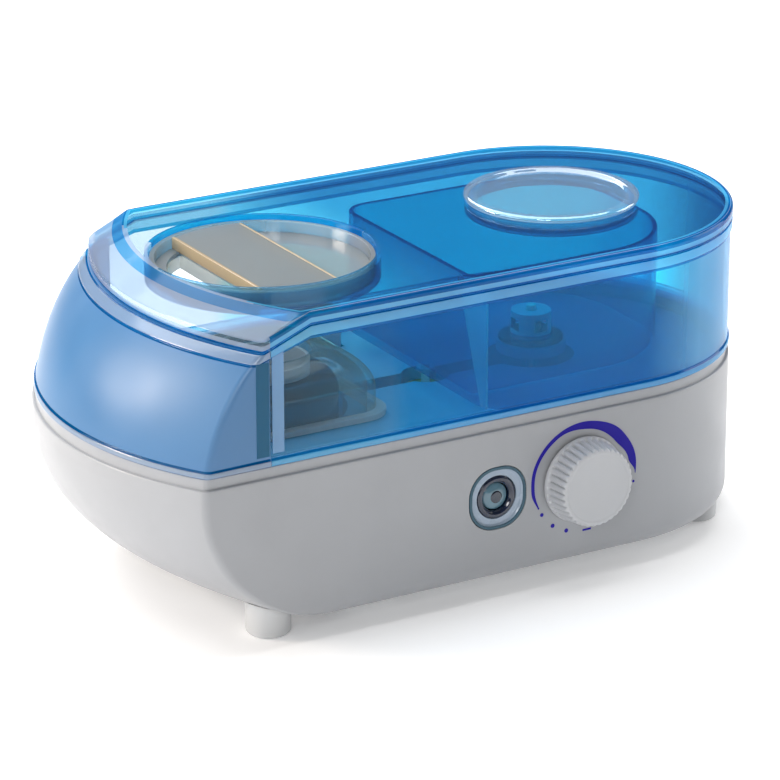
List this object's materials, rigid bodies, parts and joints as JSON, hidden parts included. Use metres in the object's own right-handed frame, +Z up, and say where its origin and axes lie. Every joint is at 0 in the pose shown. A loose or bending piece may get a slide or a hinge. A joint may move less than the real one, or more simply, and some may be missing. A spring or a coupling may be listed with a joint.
{
  "type": "cool mist humidifier",
  "caption": "Ultrasonic cool mist humidifier: a transparent blue upper housing with a sloped, bowed mist end, a turning mist nozzle and a filler cap, on a white base with a control knob",
  "frame": {"origin": "centre of the bounding box at the level of the feet", "axes": "+X runs along the length to the half-round end, -Y is the side with the knob, +Z is up"},
  "size_m": [0.33, 0.179, 0.153],
  "materials": {
    "base_white": "satin white moulded plastic",
    "inner_white": "plain white moulded plastic",
    "knob_white": "satin white moulded plastic",
    "foot_rubber": "soft light grey rubber",
    "seal_rubber": "soft black rubber",
    "clear_rubber": "soft translucent silicone",
    "screw_steel": "bright zinc plated",
    "tank_blue": "glossy transparent blue plastic",
    "hood_frost": "frosted translucent pale blue plastic",
    "reservoir_blue": "glossy transparent blue plastic",
    "cap_clear": "clear pale blue plastic",
    "nozzle_amber": "clear amber plastic",
    "nozzle_grey": "smoky grey translucent plastic",
    "dome_clear": "clear pale plastic",
    "bell_navy": "dark blue translucent plastic",
    "stack_grey": "grey plastic",
    "bezel_grey": "pale grey blue plastic",
    "ring_navy": "polished navy plastic",
    "lens_blue": "polished blue plastic lens",
    "led_body": "clear moulded resin",
    "board_green": "glass fibre board with green mask",
    "sink_aluminium": "extruded aluminium",
    "core_dark": "varnished steel core",
    "part_black": "plain black plastic",
    "motor_steel": "pressed steel can",
    "filter_black": "open cell foam pad",
    "float_orange": "foamed plastic",
    "disc_metal": "plated ceramic disc",
    "magnet_dark": "sintered ferrite"
  },
  "bodies": {
    "base": {"base_shell": "base_white", "bottom_plate": "inner_white", "basin_deck": "inner_white", "foot_front_left": "foot_rubber", "foot_back_left": "foot_rubber", "foot_front_right": "foot_rubber", "foot_back_right": "foot_rubber", "bottom_screw_1": "screw_steel", "bottom_screw_2": "screw_steel", "bottom_screw_3": "screw_steel", "bottom_screw_4": "screw_steel", "transducer_disc": "disc_metal", "transducer_seal": "seal_rubber", "transducer_clamp": "sink_aluminium", "clamp_screw_1": "screw_steel", "clamp_screw_2": "screw_steel", "clamp_screw_3": "screw_steel", "driver_board": "board_green", "heat_sink": "sink_aluminium", "power_transformer": "core_dark", "indicator_bezel": "bezel_grey", "indicator_ring": "ring_navy", "indicator_lens": "lens_blue", "indicator_led": "led_body", "potentiometer": "part_black", "fan_housing": "part_black", "fan_motor": "motor_steel", "air_duct": "inner_white", "intake_filter": "filter_black", "mist_dome": "dome_clear", "splash_bell": "bell_navy", "mist_stack": "stack_grey", "float_stem": "inner_white", "float_clip": "inner_white", "valve_push_pin": "inner_white", "cord_gland": "seal_rubber"},
    "impeller": {"fan_impeller": "inner_white"},
    "knob": {"control_knob": "knob_white", "potentiometer_shaft": "motor_steel"},
    "float": {"level_float": "float_orange", "float_magnet": "magnet_dark"},
    "tank": {"tank_shell": "tank_blue", "mist_hood": "hood_frost", "water_reservoir": "reservoir_blue", "valve_cap": "inner_white", "valve_cage": "inner_white", "valve_seal": "seal_rubber", "valve_spring": "screw_steel"},
    "valve": {"valve_plunger": "inner_white"},
    "lid": {"lid": "tank_blue"},
    "nozzle": {"nozzle_frame": "nozzle_amber", "nozzle_plate": "nozzle_grey"},
    "filler_cap": {"filler_cap": "cap_clear", "filler_gasket": "clear_rubber"}
  },
  "joints": [
    {"name": "knob_turn", "type": "hinge", "parent": "base", "child": "knob", "pos_m": [0.0479, -0.0755, 0.0482], "axis": [0, 1, 0], "range_deg": [0, 285]},
    {"name": "fan_spin", "type": "hinge", "parent": "base", "child": "impeller", "pos_m": [-0.0095, 0.045, 0.02], "axis": [0, 0, 1], "continuous": true},
    {"name": "float_rise", "type": "slide", "parent": "base", "child": "float", "axis": [0, 0, 1], "range_m": [0, 0.0075]},
    {"name": "tank_lift", "type": "slide", "parent": "base", "child": "tank", "axis": [0, 0, 1], "range_m": [0, 0.1]},
    {"name": "valve_lift", "type": "slide", "parent": "tank", "child": "valve", "axis": [0, 0, 1], "range_m": [0, 0.003], "stiffness_N_per_m": 60, "springref_m": -0.003, "deforming": ["valve_spring"]},
    {"name": "lid_lift", "type": "slide", "parent": "tank", "child": "lid", "axis": [0, 0, 1], "range_m": [0, 0.04]},
    {"name": "nozzle_turn", "type": "hinge", "parent": "lid", "child": "nozzle", "pos_m": [-0.0665, 0.007, 0.142], "axis": [0, 0, 1], "continuous": true},
    {"name": "filler_cap_lift", "type": "slide", "parent": "lid", "child": "filler_cap", "axis": [0, 0, 1], "range_m": [0, 0.03]}
  ]
}
